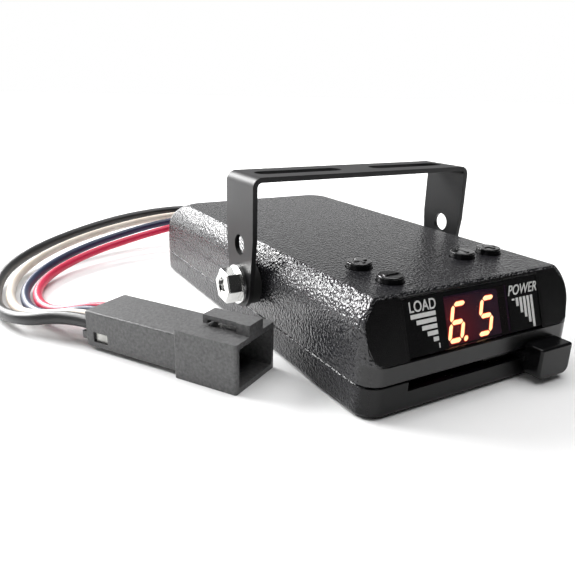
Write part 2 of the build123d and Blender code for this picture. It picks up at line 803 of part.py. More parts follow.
# Front half of the plug: an open-mouthed shroud with a latch arm along its top.
mouth_floor = plug_rear_length + 8.0
latch_half = 3.6
latch_top = plug_front_high + 3.3
with BuildPart() as plug_shroud:
    with BuildSketch(plug_plane):
        with Locations((plug_rear_length + plug_front_length / 2, 0)):
            RectangleRounded(plug_front_length, plug_front_width, 0.8)
    extrude(amount=plug_front_high)
    with BuildSketch(along_plug(mouth_floor)):
        with Locations((0, plug_front_high / 2)):
            RectangleRounded(plug_front_width - 3.2, plug_front_high - 3.2, 0.8)
    extrude(amount=plug_front_length, mode=Mode.SUBTRACT)
    with BuildSketch(along_plug(plug_rear_length)):
        with Locations(*[(way, plug_wire_z) for way in ways]):
            Rectangle(2.9, 2.9)
    extrude(amount=8.0, mode=Mode.SUBTRACT)
    with BuildSketch(plug_plane.offset(plug_front_high)):
        with Locations((plug_end - 2.2, 0)):
            Rectangle(4.4, 2 * latch_half)
    extrude(amount=latch_top - plug_front_high)
    with BuildSketch(plug_plane.offset(latch_top - 1.4)):
        with Locations((plug_end - 8, 0)):
            Rectangle(16, 2 * latch_half - 1.2)
    extrude(amount=1.4)
    with BuildSketch(plug_plane.offset(latch_top - 2.6)):
        with Locations((plug_end - 15.2, 0)):
            Rectangle(1.6, 2 * latch_half - 1.2)
    extrude(amount=2.6)
plug_shroud.part.label = "plug_shroud"
export_step(plug_shroud.part, "parts/plug_shroud.step")

# Terminals: four tinned blades on square barrels.
with BuildPart() as plug_terminals:
    with BuildSketch(along_plug(way_start)):
        with Locations(*[(way, plug_wire_z) for way in ways]):
            Rectangle(2.5, 2.5)
    extrude(amount=plug_rear_length)
    with BuildSketch(along_plug(way_start + plug_rear_length)):
        with Locations(*[(way, plug_wire_z) for way in ways]):
            Rectangle(2.3, 0.8)
    extrude(amount=10)
plug_terminals.part.label = "plug_terminals"
export_step(plug_terminals.part, "parts/plug_terminals.step")

# Four wires from the grommet, out and round to the left, down to the surface and to the plug.
# Each list runs from the grommet to the plug: x, distance behind the front face, z.


def wire_end(way, run):
    """The last two points of a wire: straight into its way in the plug's rear face."""
    entry = plug_plane.origin + plug_plane.y_dir * ways[way]
    before = entry - plug_plane.x_dir * run
    return [(before.X, before.Y - front, plug_wire_z), (entry.X, entry.Y - front, plug_wire_z)]


black_route = [
    (11.4, 154.5, 16), (11.4, 177, 16), (2, 199, 15.2), (-18, 213, 13.6), (-43, 213, 11.2),
    (-68, 202, 8.6), (-91, 184, 6.2), (-106, 162, 4.2), (-112, 138, 2.8), (-112.5, 114, 3), (-106, 96, 5.4),
] + wire_end(0, 10.5)
white_route = [
    (5.8, 154.5, 16), (5.8, 174, 16), (-3, 192, 14.8), (-22, 202, 12.8), (-46, 200, 10.3),
    (-70, 190, 7.8), (-90.5, 174, 5.2), (-103, 153, 3.2), (-107.6, 131, 2.3), (-106.2, 112, 2.6), (-100, 97, 5.6),
] + wire_end(1, 9.5)
blue_route = [
    (0.2, 154.5, 16), (0.2, 171, 16), (-10, 185.5, 14.2), (-29, 191, 11.8), (-51, 185, 9.2),
    (-73, 174, 6.8), (-91, 157.5, 4.4), (-101.2, 138, 2.8), (-103, 120, 2.2), (-99.8, 106, 2.8), (-94, 95.5, 5.8),
] + wire_end(2, 8.5)
red_route = [
    (-5.4, 154.5, 16), (-5.4, 167, 16), (-12.5, 177.5, 13.8), (-28, 181, 11), (-48, 177, 8.4),
    (-68.5, 169, 6), (-86.5, 155, 3.8), (-96.5, 138, 2.5), (-98.8, 121, 2.1), (-95.6, 107.5, 2.8), (-89.4, 98.4, 5.8),
] + wire_end(3, 7.6)

black_lead = round_wire(black_route, black_wire, "black_wire")
export_step(black_lead, "parts/black_wire.step")
white_lead = round_wire(white_route, thin_wire, "white_wire")
export_step(white_lead, "parts/white_wire.step")
blue_lead = round_wire(blue_route, thin_wire, "blue_wire")
export_step(blue_lead, "parts/blue_wire.step")
red_lead = round_wire(red_route, thin_wire, "red_wire")
export_step(red_lead, "parts/red_wire.step")
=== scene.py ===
# Looks of a trailer brake controller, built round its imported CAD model. Metres, +Z up.
from math import cos, radians, sin

import bpy
from mathutils import Matrix, Vector


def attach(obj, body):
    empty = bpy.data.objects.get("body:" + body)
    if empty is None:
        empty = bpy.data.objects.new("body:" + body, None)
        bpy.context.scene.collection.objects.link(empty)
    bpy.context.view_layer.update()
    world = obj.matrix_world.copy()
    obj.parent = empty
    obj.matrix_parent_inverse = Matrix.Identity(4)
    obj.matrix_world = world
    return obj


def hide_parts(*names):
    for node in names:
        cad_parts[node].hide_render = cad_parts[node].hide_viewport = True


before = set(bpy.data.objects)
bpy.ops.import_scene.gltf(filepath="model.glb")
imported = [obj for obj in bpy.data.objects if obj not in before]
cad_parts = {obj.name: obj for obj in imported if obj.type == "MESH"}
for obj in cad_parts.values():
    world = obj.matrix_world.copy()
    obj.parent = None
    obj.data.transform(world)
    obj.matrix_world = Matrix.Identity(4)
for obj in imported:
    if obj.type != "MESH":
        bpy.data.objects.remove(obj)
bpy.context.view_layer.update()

# A pattern's scale is written per millimetre, as its number of waves or cells in one.
MM = 0.001

# Camera: a 36 mm lens a little above the unit, to its front left, tipped down on it.
# Its axes are worked out from how far it is turned, tipped and rolled, in radians.
turned, tipped, rolled = 0.52541, 0.32825, 0.02598
look = Vector((sin(turned) * cos(tipped), cos(turned) * cos(tipped), -sin(tipped)))
level = Vector((cos(turned), -sin(turned), 0))
upright = level.cross(look)
camera_right = level * cos(rolled) + upright * sin(rolled)
camera_up = upright * cos(rolled) - level * sin(rolled)
bpy.ops.object.camera_add()
camera = bpy.context.object
camera.name = "camera"
camera.data.lens = 36.14
camera.data.sensor_width = 36
camera.data.clip_start = 0.01
axes = Matrix((camera_right, camera_up, -look)).transposed()
camera.matrix_world = Matrix.Translation((-0.1191, -0.1724, 0.0785)) @ axes.to_4x4()
bpy.context.scene.camera = camera
bpy.context.scene.view_settings.view_transform = "Standard"


# Studio: a white table in a pale room that is darker towards the front, with three soft boxes.
# The brightest stands behind on the left, where the case's shoulders mirror it.
def linear(colour):
    """An sRGB hex colour as the linear RGBA that a socket takes."""
    parts = [int(colour[i : i + 2], 16) / 255 for i in (1, 3, 5)]
    return [c / 12.92 if c <= 0.04045 else ((c + 0.055) / 1.055) ** 2.4 for c in parts] + [1.0]


def add(tree, kind, inputs=None, **settings):
    """Adds one node: its settings, then its inputs, each a value or a (node, output) link."""
    node = tree.nodes.new("ShaderNode" + kind)
    for name, value in settings.items():
        setattr(node, name, value)
    for name, value in (inputs or {}).items():
        if isinstance(value, tuple) and isinstance(value[0], bpy.types.Node):
            tree.links.new(value[0].outputs[value[1]], node.inputs[name])
        else:
            node.inputs[name].default_value = value
    return node


def start_material(name, **sockets):
    """A named material with its output and shader; sockets are set on the shader itself."""
    material = bpy.data.materials.new(name)
    material.use_nodes = True
    tree = material.node_tree
    tree.nodes.clear()
    shader = add(tree, "BsdfPrincipled", {k.replace("_", " "): v for k, v in sockets.items()})
    add(tree, "OutputMaterial", {"Surface": (shader, "BSDF")})
    return material, tree, shader


def feed(shader, **sources):
    """Links (node, output) pairs to the shader's sockets of the same names."""
    for name, (node, output) in sources.items():
        shader.id_data.links.new(node.outputs[output], shader.inputs[name.replace("_", " ")])


# Table laminate: matt white with the faintest mottle, and lit from below away from the unit.
table_laminate, tree, shader = start_material("white_table_laminate", Roughness=0.6)
place = add(tree, "TexCoord")
mottle = add(tree, "TexNoise", {"Vector": (place, "Object"), "Scale": 0.012 / MM})
tone = add(tree, "Mix", {0: (mottle, "Fac"), 6: linear("#f4f4f4"), 7: linear("#f8f8f8")}, data_type="RGBA")
reach = add(tree, "VectorMath", {0: (place, "Object")}, operation="LENGTH")
from_below = add(
    tree, "MapRange",
    {"Value": (reach, "Value"), "From Min": 0.35, "From Max": 1.1, "To Max": 1.4},
)
feed(shader, Base_Color=(tone, 2), Emission_Color=(tone, 2), Emission_Strength=(from_below, "Result"))
bpy.ops.object.select_all(action="DESELECT")
TABLE_WIDTH, TABLE_DROP = 12, 0.05 * MM
bpy.ops.mesh.primitive_grid_add(
    x_subdivisions=4, y_subdivisions=4, size=TABLE_WIDTH, location=(0, 0, -TABLE_DROP),
)
table_top = bpy.context.object
table_top.name = "table_top"
table_top.data.materials.append(table_laminate)

# Room: soft light that comes mostly from low down behind the unit, and plain white to the camera.
room = bpy.data.worlds.new("room")
bpy.context.scene.world = room
room.use_nodes = True
tree = room.node_tree
tree.nodes.clear()
place = add(tree, "TexCoord")
split = add(tree, "SeparateXYZ", {"Vector": (place, "Generated")})
to_back = add(tree, "MapRange", {"Value": (split, "Y"), "From Min": -0.4, "From Max": 0.6, "To Min": 0.08})
to_table = add(
    tree, "MapRange",
    {"Value": (split, "Z"), "From Min": 0.16, "From Max": 0.60, "To Min": 1.0, "To Max": 0.12},
)
wall_light = add(tree, "Math", {0: (to_back, "Result"), 1: (to_table, "Result")}, operation="MULTIPLY")
seen = add(tree, "LightPath")
dim = add(tree, "Background", {"Strength": (wall_light, "Value")})
white = add(tree, "Background", {"Color": (1, 1, 1, 1), "Strength": 1.0})
both = add(tree, "MixShader", {0: (seen, "Is Camera Ray"), 1: (dim, "Background"), 2: (white, "Background")})
add(tree, "OutputWorld", {"Surface": (both, "Shader")})

# Soft boxes: each one's place, width and height in metres, and its power in watts.
soft_boxes = (
    ("rear_left_soft_box", (-0.62, 1.10, 0.72), 1.10, 0.55, 44.0),
    ("overhead_soft_box", (0.10, 0.10, 1.30), 1.50, 1.50, 21.0),
    ("front_left_soft_box", (-1.10, -0.35, 0.55), 0.60, 0.60, 1.2),
)
for name, spot, width, height, watts in soft_boxes:
    bpy.ops.object.light_add(type="AREA", location=spot)
    soft_box = bpy.context.object
    soft_box.name = name
    soft_box.data.shape = "RECTANGLE"
    soft_box.data.size = width
    soft_box.data.size_y = height
    soft_box.data.energy = watts
    soft_box.rotation_euler = (-Vector(spot)).to_track_quat("-Z", "Y").to_euler()
    soft_box.visible_camera = False

# Plug: two mouldings of dark glass-filled nylon pushed together, their edges rounded by the mould.
# The rear one takes the wires, and the front one is the open shroud with the latch on its top.
def moulded_plastic(name, colour, shade, roughness, grain, depth, blotch=16, ior=1.5, **sockets):
    """Moulded plastic. In mm, its texture's spacing and height, and the width of its blotches."""
    material, tree, shader = start_material(name, IOR=ior, **sockets)
    place = add(tree, "TexCoord")
    cells = add(
        tree, "TexVoronoi", {"Vector": (place, "Object"), "Scale": 1 / (grain * MM)}, feature="SMOOTH_F1",
    )
    wander = add(tree, "TexNoise", {"Vector": (place, "Object"), "Scale": 0.6 / (grain * MM), "Detail": 3.0})
    height = add(tree, "Math", {0: (cells, "Distance"), 1: (wander, "Fac")}, operation="ADD")
    bump = add(tree, "Bump", {"Height": (height, "Value"), "Strength": 1.0, "Distance": depth * MM})
    drift = add(tree, "TexNoise", {"Vector": (place, "Object"), "Scale": 1 / (blotch * MM), "Detail": 4.0})
    tone = add(tree, "Mix", {0: (drift, "Fac"), 6: linear(colour), 7: linear(shade)}, data_type="RGBA")
    rub = add(
        tree, "MapRange",
        {"Value": (drift, "Fac"), "To Min": roughness - 0.05, "To Max": roughness + 0.07},
    )
    feed(shader, Base_Color=(tone, 2), Roughness=(rub, "Result"), Normal=(bump, "Normal"))
    return material


def finish_piece(name, edge, material, body="case"):
    """A CAD node's shape with its mould or press radius of edge mm put on, in its material."""
    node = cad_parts[name]
    bpy.ops.object.select_all(action="DESELECT")
    piece = node.copy()
    piece.data = node.data.copy()
    piece.parent = None
    for key in [k for k in piece.keys() if k.startswith("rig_")]:
        del piece[key]
    bpy.context.collection.objects.link(piece)
    piece.name = name + "_finished"
    bpy.context.view_layer.objects.active = piece
    piece.select_set(True)
    bpy.ops.object.mode_set(mode="EDIT")
    bpy.ops.mesh.select_all(action="SELECT")
    bpy.ops.mesh.customdata_custom_splitnormals_clear()
    bpy.ops.mesh.remove_doubles(threshold=0.002 * MM)
    bpy.ops.mesh.dissolve_limited(angle_limit=radians(0.6))
    bpy.ops.object.mode_set(mode="OBJECT")
    bevel = piece.modifiers.new("mould_radius", "BEVEL")
    bevel.width = edge * MM
    bevel.segments = 2
    bevel.limit_method = "ANGLE"
    bevel.angle_limit = radians(28)
    bpy.ops.object.modifier_apply(modifier=bevel.name)
    bpy.ops.object.shade_smooth_by_angle(angle=radians(35))
    flats = piece.modifiers.new("flat_faces_stay_flat", "WEIGHTED_NORMAL")
    flats.keep_sharp = True
    bpy.ops.object.modifier_apply(modifier=flats.name)
    piece.data.materials.clear()
    piece.data.materials.append(material)
    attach(piece, body)
    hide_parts(name)
    return piece


def paint(node, material):
    """Puts a material on a CAD node whose shape is right as it is."""
    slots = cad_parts[node].data.materials
    slots.clear()
    slots.append(material)


# Glass-filled nylon: charcoal, dull, with a fine speckle of fibre at the skin.
plug_nylon = moulded_plastic("glass_filled_nylon", "#1e1e20", "#6e6e6e", 0.42, 0.6, 0.05, blotch=0.9)
rear_half = finish_piece("plug_body", 0.35, plug_nylon)
front_half = finish_piece("plug_shroud", 0.35, plug_nylon)

# Terminals and their lock: stamped brass dipped in tin, soft grey with brighter and duller patches.
# The terminals stand in the plug's ways, and the lock is a slide that shows in its window.
terminal_tin, tree, shader = start_material("tinned_brass", Metallic=1.0, Roughness=0.3)
place = add(tree, "TexCoord")
patches = add(tree, "TexNoise", {"Vector": (place, "Object"), "Scale": 0.5 / MM, "Detail": 4.0})
tone = add(tree, "Mix", {0: (patches, "Fac"), 6: linear("#6e6e6a"), 7: linear("#c4c4c0")}, data_type="RGBA")
feed(shader, Base_Color=(tone, 2))
paint("plug_terminals", terminal_tin)
paint("terminal_lock", terminal_tin)

# Wires: stranded copper in PVC, held by a rubber grommet in the back of the case. They fan out,
# sink to the table round the left of the case and run side by side into the back of the plug.
# The sizes are in mm: PLUG_END is the middle of the plug's rear face, and its ways are a pitch apart.
CASE_FRONT = -74.0
PLUG_TURN = radians(-58)
PLUG_END = Vector((-82.6, CASE_FRONT + 81.5, 0))
WAY_PITCH, MIDDLE_WAY = 4.3, 1.5
WIRE_HEIGHT = 7.9
THICK_WIRE, THIN_WIRE = 4.4, 3.4
along_plug = Vector((cos(PLUG_TURN), sin(PLUG_TURN), 0))
across_plug = Vector((-sin(PLUG_TURN), cos(PLUG_TURN), 0))


def pvc(name, colour, shade):
    """Extruded PVC: even colour with soft drifts, a low sheen and faint drawing lines."""
    material, tree, shader = start_material(name, Roughness=0.38, IOR=1.53)
    place = add(tree, "TexCoord")
    drift = add(tree, "TexNoise", {"Vector": (place, "Object"), "Scale": 0.09 / MM, "Detail": 3.0})
    tone = add(tree, "Mix", {0: (drift, "Fac"), 6: linear(colour), 7: linear(shade)}, data_type="RGBA")
    skin = add(tree, "TexNoise", {"Vector": (place, "Object"), "Scale": 2.2 / MM, "Detail": 2.0})
    bump = add(tree, "Bump", {"Height": (skin, "Fac"), "Strength": 0.25, "Distance": 0.02 * MM})
    feed(shader, Base_Color=(tone, 2), Normal=(bump, "Normal"))
    return material


def wire_end(way, run):
    """The last two points of a wire, in mm: straight into its way in the plug's rear face."""
    entry = PLUG_END + across_plug * WAY_PITCH * (way - MIDDLE_WAY) + Vector((0, 0, WIRE_HEIGHT))
    return [entry - along_plug * run, entry]


def lay_wire(name, diameter, route, way, last_run, material):
    """A wire along its route, in mm as x, distance behind the case's front, and height.

    Its last_run mm lie straight in line with the plug's way, and its length is in metres.
    """
    points = [Vector((x, CASE_FRONT + y, z)) for x, y, z in route] + wire_end(way, last_run)
    curve = bpy.data.curves.new(name, "CURVE")
    curve.dimensions = "3D"
    line = curve.splines.new("NURBS")
    line.points.add(len(points) - 1)
    for spot, point in zip(line.points, points):
        spot.co = (*(point * MM), 1)
    line.order_u = 3
    line.use_endpoint_u = True
    line.resolution_u = 10
    curve.bevel_depth = diameter / 2 * MM
    curve.bevel_resolution = 6
    curve.use_fill_caps = True
    curve.materials.append(material)
    wire = bpy.data.objects.new(name + "_lead", curve)
    bpy.context.collection.objects.link(wire)
    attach(wire, "case")
    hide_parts(name)


black_pvc = pvc("black_pvc_insulation", "#08080a", "#111113")
white_pvc = pvc("tan_white_pvc_insulation", "#e6dfd6", "#c6b29d")
blue_pvc = pvc("navy_blue_pvc_insulation", "#0a1a3a", "#12284e")
red_pvc = pvc("red_pvc_insulation", "#b40a36", "#d41c4c")
lay_wire(
    "black_wire", THICK_WIRE,
    [
        (11.4, 154.5, 16), (11.4, 177, 16), (2, 199, 15.2), (-18, 213, 13.6), (-43, 213, 11.2),
        (-68, 202, 8.6), (-91, 184, 6.2), (-106, 162, 4.2), (-112, 138, 2.8), (-112.5, 114, 3),
        (-106, 96, 5.4),
    ],
    way=0, last_run=10.5, material=black_pvc,
)
lay_wire(
    "white_wire", THIN_WIRE,
    [
        (5.8, 154.5, 16), (5.8, 174, 16), (-3, 192, 14.8), (-22, 202, 12.8), (-46, 200, 10.3),
        (-70, 190, 7.8), (-90.5, 174, 5.2), (-103, 153, 3.2), (-107.6, 131, 2.3), (-106.2, 112, 2.6),
        (-100, 97, 5.6),
    ],
    way=1, last_run=9.5, material=white_pvc,
)
lay_wire(
    "blue_wire", THIN_WIRE,
    [
        (0.2, 154.5, 16), (0.2, 171, 16), (-10, 185.5, 14.2), (-29, 191, 11.8), (-51, 185, 9.2),
        (-73, 174, 6.8), (-91, 157.5, 4.4), (-101.2, 138, 2.8), (-103, 120, 2.2), (-99.8, 106, 2.8),
        (-94, 95.5, 5.8),
    ],
    way=2, last_run=8.5, material=blue_pvc,
)
lay_wire(
    "red_wire", THIN_WIRE,
    [
        (-5.4, 154.5, 16), (-5.4, 167, 16), (-12.5, 177.5, 13.8), (-28, 181, 11), (-48, 177, 8.4),
        (-68.5, 169, 6), (-86.5, 155, 3.8), (-96.5, 138, 2.5), (-98.8, 121, 2.1), (-95.6, 107.5, 2.8),
        (-89.4, 98.4, 5.8),
    ],
    way=3, last_run=7.6, material=red_pvc,
)

# Lower case: a shallow tray moulded in black ABS, with the lever's slot in its front edge. It
# carries the main board on four pillars, and four screws from below hold the upper case to it.
# Both cases come from etched tools: a coarse leather grain that sparkles, and a satin smooth front.
# In mm: the grain's spacing and depth, how far back the smooth front reaches and where the grain
# is full, and the height of the smooth foot under the panel.
GRAIN = 0.85
GRAIN_DEPTH = 0.21
SMOOTH_TO_Y = -73.2
GRAIN_FROM_Y = -69.5
FOOT_TOP = 14.4
grained_abs, tree, shader = start_material("leather_grained_black_abs", IOR=1.52)
place = add(tree, "TexCoord")
cells = add(tree, "TexVoronoi", {"Vector": (place, "Object"), "Scale": 1 / (GRAIN * MM)}, feature="F1")
hills = add(tree, "TexNoise", {"Vector": (place, "Object"), "Scale": 1 / (GRAIN * MM), "Detail": 2.0})
pebbles = add(tree, "Math", {0: (cells, "Distance"), 1: (hills, "Fac")}, operation="ADD")
split = add(tree, "SeparateXYZ", {"Vector": (place, "Object")})
behind = add(
    tree, "MapRange",
    {"Value": (split, "Y"), "From Min": SMOOTH_TO_Y * MM, "From Max": GRAIN_FROM_Y * MM},
)
above = add(
    tree, "MapRange",
    {"Value": (split, "Z"), "From Min": FOOT_TOP * MM, "From Max": (FOOT_TOP + 0.8) * MM},
)
grained = add(tree, "Math", {0: (behind, "Result"), 1: (above, "Result")}, operation="MAXIMUM")
height = add(tree, "Math", {0: (pebbles, "Value"), 1: (grained, "Value")}, operation="MULTIPLY")
bump = add(tree, "Bump", {"Height": (height, "Value"), "Strength": 1.0, "Distance": GRAIN_DEPTH * MM})
# Painted light: the colour is paler on the grain's peaks and darker in its hollows, a painted sparkle on the
# peaks and painted shade in the hollows.
grain_painted_light = add(tree, "MapRange", {"Value": (height, "Value"), "From Min": 0.55, "From Max": 1.15})
tone = add(tree, "Mix", {0: (grain_painted_light, "Result"), 6: linear("#050506"), 7: linear("#232326")}, data_type="RGBA")
rub = add(tree, "MapRange", {"Value": (height, "Value"), "From Max": 1.2, "To Min": 0.30, "To Max": 0.12})
feed(shader, Base_Color=(tone, 2), Roughness=(rub, "Result"), Normal=(bump, "Normal"))

# The lower case is the same plastic with a duller skin, so it mirrors less.
dull_abs = grained_abs.copy()
dull_abs.name = "dull_leather_grained_black_abs"
dull_abs.node_tree.nodes["Principled BSDF"].inputs["IOR"].default_value = 1.34
finish_piece("lower_shell", 0.25, dull_abs)
paint("spring_post", dull_abs)

# Fasteners, spring and potentiometer can: steel, zinc plated in a barrel, which leaves it pale
# with a cloudy bloom.
zinc_plate, tree, shader = start_material("zinc_plated_steel", Metallic=1.0)
place = add(tree, "TexCoord")
bloom = add(tree, "TexNoise", {"Vector": (place, "Object"), "Scale": 0.26 / MM, "Detail": 5.0})
tone = add(tree, "Mix", {0: (bloom, "Fac"), 6: linear("#c6c6c4"), 7: linear("#ececea")}, data_type="RGBA")
rub = add(tree, "MapRange", {"Value": (bloom, "Fac"), "To Min": 0.12, "To Max": 0.34})
feed(shader, Base_Color=(tone, 2), Roughness=(rub, "Result"))
for node in ("case_screws", "board_screws", "key_board_screws", "side_nuts", "lever_spring", "slide_pot"):
    paint(node, zinc_plate)

# Circuit boards: glass laminate under green solder mask, with copper tracks showing as ridges.
# The main board is screwed down in the lower case, and the key board up into the upper case.
solder_mask, tree, shader = start_material("green_solder_mask", Roughness=0.3, IOR=1.5)
place = add(tree, "TexCoord")
tracks = add(tree, "TexVoronoi", {"Vector": (place, "Object"), "Scale": 0.3 / MM}, distance="MANHATTAN")
line_mask = add(tree, "Math", {0: (tracks, "Distance"), 1: 0.45}, operation="GREATER_THAN")
tone = add(
    tree, "Mix", {0: (line_mask, "Value"), 6: linear("#14401f"), 7: linear("#1f5a2c")}, data_type="RGBA",
)
bump = add(tree, "Bump", {"Height": (line_mask, "Value"), "Distance": 0.03 * MM})
feed(shader, Base_Color=(tone, 2), Normal=(bump, "Normal"))
paint("main_board", solder_mask)
paint("key_board", solder_mask)

# Parts on the boards: black epoxy mouldings soldered down, and a heat sink cut from extruded
# aluminium with fine die lines along it. The leads come in from the grommet.
epoxy = moulded_plastic("black_moulded_epoxy", "#161617", "#1f1f20", 0.5, 0.2, 0.006)
for node in (
    "controller_chip", "motion_sensor", "board_header",
    "button_switches", "capacitors", "power_transistors",
):
    paint(node, epoxy)
sink_metal, tree, shader = start_material("extruded_aluminium", Metallic=1.0)
place = add(tree, "TexCoord")
stretch = add(tree, "Mapping", {"Vector": (place, "Object"), "Scale": (1, 1, 0.05)})
draw = add(tree, "TexNoise", {"Vector": (stretch, "Vector"), "Scale": 0.9 / MM, "Detail": 3.0})
tone = add(tree, "Mix", {0: (draw, "Fac"), 6: linear("#9b9ea2"), 7: linear("#b6b9bc")}, data_type="RGBA")
rub = add(tree, "MapRange", {"Value": (draw, "Fac"), "To Min": 0.25, "To Max": 0.45})
feed(shader, Base_Color=(tone, 2), Roughness=(rub, "Result"))
paint("heat_sink", sink_metal)
paint("board_leads", black_pvc)

# Hand lever: one moulding in smooth black acetal, a knob in front and a flat carriage inside.
# It slides along the slot against a spring and carries the potentiometer's wiper.
acetal = moulded_plastic("smooth_black_acetal", "#070708", "#0d0d0e", 0.2, 0.3, 0.003, ior=1.36)
finish_piece("hand_lever", 0.2, acetal, body="lever")
paint("pot_wiper", acetal)

# Upper case: one moulding of the same grained black ABS, with round shoulders and a cut-back nose.
# It drops over the lower case, its foot at the front is left smooth, and the panel sits in its nose.
finish_piece("upper_shell", 0.2, grained_abs)

# Front panel: a smooth black ABS moulding let into the upper case, leaning back over its foot.
# Its skin is polished, with none of the cases' grain.
panel_abs = moulded_plastic("smooth_black_panel_abs", "#070707", "#0c0c0d", 0.18, 0.3, 0.002)
finish_piece("front_panel", 0.15, panel_abs)

# Label window: a gloss black acrylic plate with a cut-out for the display, faintly hazed by
# handling. A fine frame in the panel's plastic stands round it.
gloss_acrylic, tree, shader = start_material(
    "gloss_black_acrylic", IOR=1.49, Coat_Weight=0.3, Coat_Roughness=0.03,
)
place = add(tree, "TexCoord")
haze = add(tree, "TexNoise", {"Vector": (place, "Object"), "Scale": 0.14 / MM, "Detail": 4.0})
tone = add(tree, "Mix", {0: (haze, "Fac"), 6: linear("#050506"), 7: linear("#0a0a0b")}, data_type="RGBA")
rub = add(tree, "MapRange", {"Value": (haze, "Fac"), "To Min": 0.05, "To Max": 0.16})
feed(shader, Base_Color=(tone, 2), Roughness=(rub, "Result"))
paint("label_window", gloss_acrylic)

# What stands or is printed on the panel is drawn flat in mm from the panel's foot, x to the right,
# y up the slope and z out of it, and is then set in place on the lean.
LEAN = radians(19.2)
PANEL_FOOT = Vector((0, CASE_FRONT + 0.35, FOOT_TOP)) * MM
up_slope = Vector((0, sin(LEAN), cos(LEAN)))
out_of_panel = Vector((0, -cos(LEAN), sin(LEAN)))
panel_axes = Matrix((Vector((1, 0, 0)), up_slope, out_of_panel)).transposed().to_4x4()
panel_place = Matrix.Translation(PANEL_FOOT) @ panel_axes


def pick(piece, wanted):
    """Opens a piece in edit mode with just those of its edges selected that wanted() names."""
    bpy.ops.object.mode_set(mode="EDIT")
    bpy.ops.mesh.select_mode(type="EDGE")
    bpy.ops.mesh.select_all(action="DESELECT")
    bpy.ops.object.mode_set(mode="OBJECT")
    corners = piece.data.vertices
    for edge in piece.data.edges:
        start, end = (corners[v].co for v in edge.vertices)
        edge.select = wanted(start, end)
    bpy.ops.object.mode_set(mode="EDIT")


def strip(start, end, wide, low, high, point=0.0):
    """A strip between two places, in mm. With point near 0.5 of its width, its ends are pointed."""
    start, end = Vector(start), Vector(end)
    run = end - start
    middle = (start + end) / 2
    bpy.ops.object.select_all(action="DESELECT")
    bpy.ops.mesh.primitive_cube_add(
        size=1, location=(middle.x, middle.y, (low + high) / 2),
        rotation=(0, 0, run.angle_signed(Vector((1, 0)))), scale=(run.length, wide, high - low),
    )
    piece = bpy.context.object
    bpy.ops.object.transform_apply(location=True, rotation=True, scale=True)
    if point:
        pick(piece, lambda a, b: abs(a.z - b.z) > (high - low) / 2)
        bpy.ops.mesh.bevel(offset=wide * point, segments=1, affect="EDGES")
        bpy.ops.object.mode_set(mode="OBJECT")
    pick(piece, lambda a, b: min(a.z, b.z) > (low + high) / 2)
    bpy.ops.mesh.bevel(offset=(high - low) * 0.3, segments=1, affect="EDGES")
    bpy.ops.object.mode_set(mode="OBJECT")
    return piece


def set_in_panel(pieces, name, material, slant=0.0):
    """Joins pieces drawn flat, in mm over the panel's foot, and puts them on the leaning panel."""
    bpy.ops.object.select_all(action="DESELECT")
    for piece in pieces:
        piece.select_set(True)
    bpy.context.view_layer.objects.active = pieces[0]
    if len(pieces) > 1:
        bpy.ops.object.join()
    joined = bpy.context.object
    lean_over = Matrix.Identity(4)
    lean_over[0][1] = slant
    joined.data.transform(panel_place @ Matrix.Scale(MM, 4) @ lean_over)
    joined.name = name
    joined.data.materials.clear()
    joined.data.materials.append(material)
    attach(joined, "case")


FRAME_SIDE, FRAME_FOOT, FRAME_TOP = 26.3, 0.2, 16.4
FRAME_WIDE, FRAME_LOW, FRAME_HIGH = 0.4, -0.2, 0.12
frame_ends = (
    ((-FRAME_SIDE, FRAME_FOOT), (-FRAME_SIDE, FRAME_TOP)),
    ((FRAME_SIDE, FRAME_FOOT), (FRAME_SIDE, FRAME_TOP)),
    ((-FRAME_SIDE, FRAME_TOP), (FRAME_SIDE, FRAME_TOP)),
)
frame_bars = [strip(start, end, FRAME_WIDE, FRAME_LOW, FRAME_HIGH) for start, end in frame_ends]
set_in_panel(frame_bars, "window_frame", panel_abs)

# Printed marks: pale grey ink screened on the label window, a word and a set of level bars at each
# side of the display. The screen's mesh leaves it slightly uneven.
screen_ink, tree, shader = start_material("pale_grey_screen_ink", Roughness=0.55)
place = add(tree, "TexCoord")
mesh_dots = add(tree, "TexNoise", {"Vector": (place, "Object"), "Scale": 2.5 / MM, "Detail": 2.0})
tone = add(tree, "Mix", {0: (mesh_dots, "Fac"), 6: linear("#b4b4b2"), 7: linear("#e2e2e0")}, data_type="RGBA")
feed(shader, Base_Color=(tone, 2))
INK_LOW, INK_HIGH = -0.25, -0.2

# The left bars lie under each other and end in line, and a short upright tick closes them.
LEFT_BARS_END = -14.7
left_starts = ((-23.2, 10.92), (-21.5, 9.22), (-19.9, 7.52), (-18.3, 5.82), (-16.5, 4.12))
BAR_WIDE, TICK_WIDE = 1.15, 0.4
left_bars = [strip((x, y), (LEFT_BARS_END, y), BAR_WIDE, INK_LOW, INK_HIGH) for x, y in left_starts]
left_bars.append(strip((LEFT_BARS_END, 1.6), (LEFT_BARS_END, 2.9), TICK_WIDE, INK_LOW, INK_HIGH))
set_in_panel(left_bars, "left_level_bars", screen_ink)

# The right bars hang side by side from one height after a short dash, each longer than the last.
RIGHT_BARS_TOP, RIGHT_BARS_START, RIGHT_BARS_PITCH = 10.2, 16.3, 1.52
UPRIGHT_BAR_WIDE, DASH_WIDE = 1.0, 0.5
right_bars = [strip((14.2, 9.85), (15.3, 9.85), DASH_WIDE, INK_LOW, INK_HIGH)]
for count, foot in enumerate((7.8, 5.7, 4.2, 2.5, 0.9)):
    x = RIGHT_BARS_START + RIGHT_BARS_PITCH * count
    right_bars.append(strip((x, foot), (x, RIGHT_BARS_TOP), UPRIGHT_BAR_WIDE, INK_LOW, INK_HIGH))
set_in_panel(right_bars, "right_level_bars", screen_ink)


LETTER_WEIGHT = 0.012


